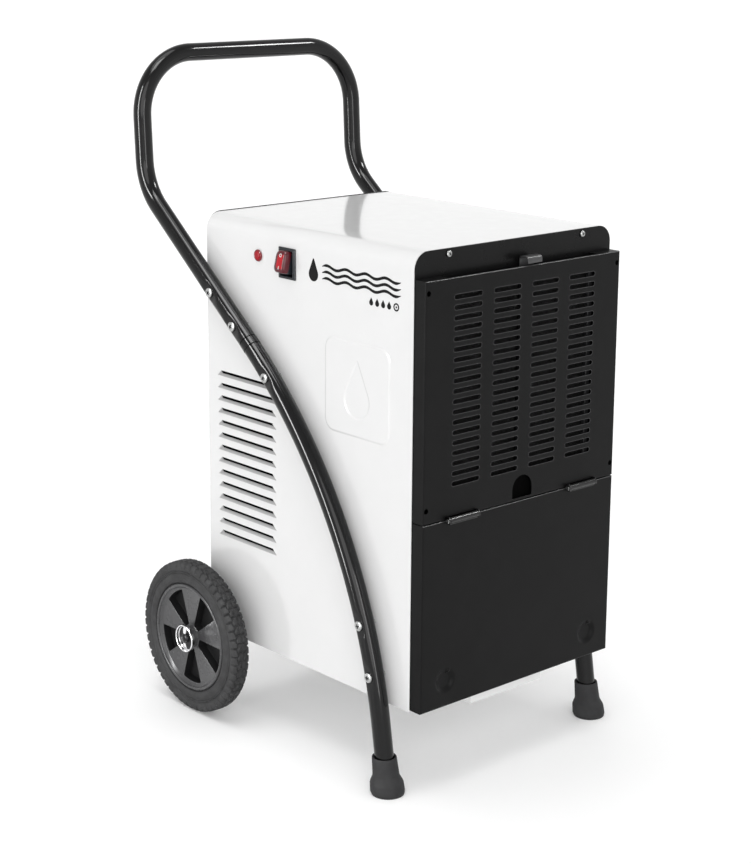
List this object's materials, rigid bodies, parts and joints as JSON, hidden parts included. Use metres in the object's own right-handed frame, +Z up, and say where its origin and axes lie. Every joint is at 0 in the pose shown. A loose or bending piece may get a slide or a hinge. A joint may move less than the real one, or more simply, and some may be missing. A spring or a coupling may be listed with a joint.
{
  "type": "dehumidifier",
  "caption": "Wheeled condensation dehumidifier: white sheet-metal cabinet with black front grille and tank door, hung in a bent tube frame with push handle.",
  "frame": {"origin": "centre of the bounding box's footprint, on the floor", "axes": "+Z up, the grille and the tank door face -Y, the switch and lamp are on the -X side"},
  "size_m": [0.467, 0.5821, 0.9194],
  "materials": {
    "white_casing": "gloss white powder coat",
    "black_sheet": "satin black powder coat",
    "black_tube": "gloss black enamel",
    "rubber": "matte moulded rubber",
    "tyre": "matte tread rubber",
    "rim": "dark grey moulded plastic",
    "chrome": "bright",
    "zinc": "bright zinc plate",
    "red": "bright red, glossy",
    "boot": "clear dark red silicone",
    "bezel": "dark blue-grey, satin",
    "black_plastic": "fine grain",
    "copper": "bare drawn copper",
    "fins": "bare aluminium fins",
    "galvanised": "galvanised sheet",
    "enamel": "black enamel",
    "tank": "translucent pale plastic",
    "mesh": "woven filter mesh"
  },
  "bodies": {
    "cabinet": {"axle_clamp_left": "galvanised", "axle_clamp_right": "galvanised", "base_tray": "white_casing", "capillary_tube": "copper", "casing_shell": "white_casing", "compressor": "enamel", "condenser": "fins", "control_box": "bezel", "discharge_line": "copper", "drain_spigot": "black_plastic", "drip_tray": "galvanised", "evaporator": "fins", "fan_bulkhead": "galvanised", "fan_motor": "galvanised", "filter_drier": "copper", "float_switch": "black_plastic", "foot_left": "rubber", "foot_right": "rubber", "front_plate": "black_sheet", "grille_cover": "black_sheet", "handle_tube": "black_tube", "hinge_pin_left": "zinc", "hinge_pin_right": "zinc", "indicator_lamp": "red", "leg_tube_left": "black_tube", "leg_tube_right": "black_tube", "liquid_line": "copper", "plate_screw_left": "zinc", "plate_screw_right": "zinc", "power_inlet": "black_plastic", "push_cap_left": "chrome", "push_cap_right": "chrome", "rear_panel": "black_sheet", "suction_line": "copper", "switch_bezel": "bezel", "tube_connector_left": "black_tube", "tube_connector_right": "black_tube", "tube_screw_left_1": "zinc", "tube_screw_left_2": "zinc", "tube_screw_left_3": "zinc", "tube_screw_left_4": "zinc", "tube_screw_left_5": "zinc", "tube_screw_right_1": "zinc", "tube_screw_right_2": "zinc", "tube_screw_right_3": "zinc", "tube_screw_right_4": "zinc", "tube_screw_right_5": "zinc", "wheel_axle": "zinc"},
    "left_wheel": {"tyre_left": "tyre", "rim_left": "rim"},
    "right_wheel": {"tyre_right": "tyre", "rim_right": "rim"},
    "fan": {"fan_impeller": "black_plastic"},
    "door": {"tank_door": "black_sheet"},
    "tank": {"water_tank": "tank"},
    "float": {"tank_float": "black_plastic"},
    "filter": {"filter_frame": "black_sheet", "filter_mesh": "mesh"},
    "rocker": {"power_rocker": "red", "switch_boot": "boot"}
  },
  "joints": [
    {"name": "wheel_left_spin", "type": "hinge", "parent": "cabinet", "child": "left_wheel", "pos_m": [-0.2118, 0.1397, 0.108], "axis": [1, 0, 0], "continuous": true},
    {"name": "wheel_right_spin", "type": "hinge", "parent": "cabinet", "child": "right_wheel", "pos_m": [0.2118, 0.1397, 0.108], "axis": [1, 0, 0], "continuous": true},
    {"name": "fan_spin", "type": "hinge", "parent": "cabinet", "child": "fan", "pos_m": [0, -0.1173, 0.52], "axis": [0, 1, 0], "continuous": true},
    {"name": "door_hinge", "type": "hinge", "parent": "cabinet", "child": "door", "pos_m": [0, -0.2871, 0.3635], "axis": [-1, 0, 0], "range_deg": [0, 90]},
    {"name": "tank_slide", "type": "slide", "parent": "cabinet", "child": "tank", "axis": [0, -1, 0], "range_m": [0, 0.12]},
    {"name": "float_swing", "type": "hinge", "parent": "tank", "child": "float", "pos_m": [0.09, -0.1433, 0.29], "axis": [-1, 0, 0], "range_deg": [0, 15]},
    {"name": "filter_slide", "type": "slide", "parent": "cabinet", "child": "filter", "axis": [0, 0, 1], "range_m": [0, 0.28]},
    {"name": "rocker_tilt", "type": "hinge", "parent": "cabinet", "child": "rocker", "pos_m": [-0.172, -0.0223, 0.656], "axis": [0, -1, 0], "range_deg": [0, 28]}
  ],
  "couplings": [
    {"joint": "tank_slide", "follows": "door_hinge", "m_per_rad": 0.0763}
  ]
}
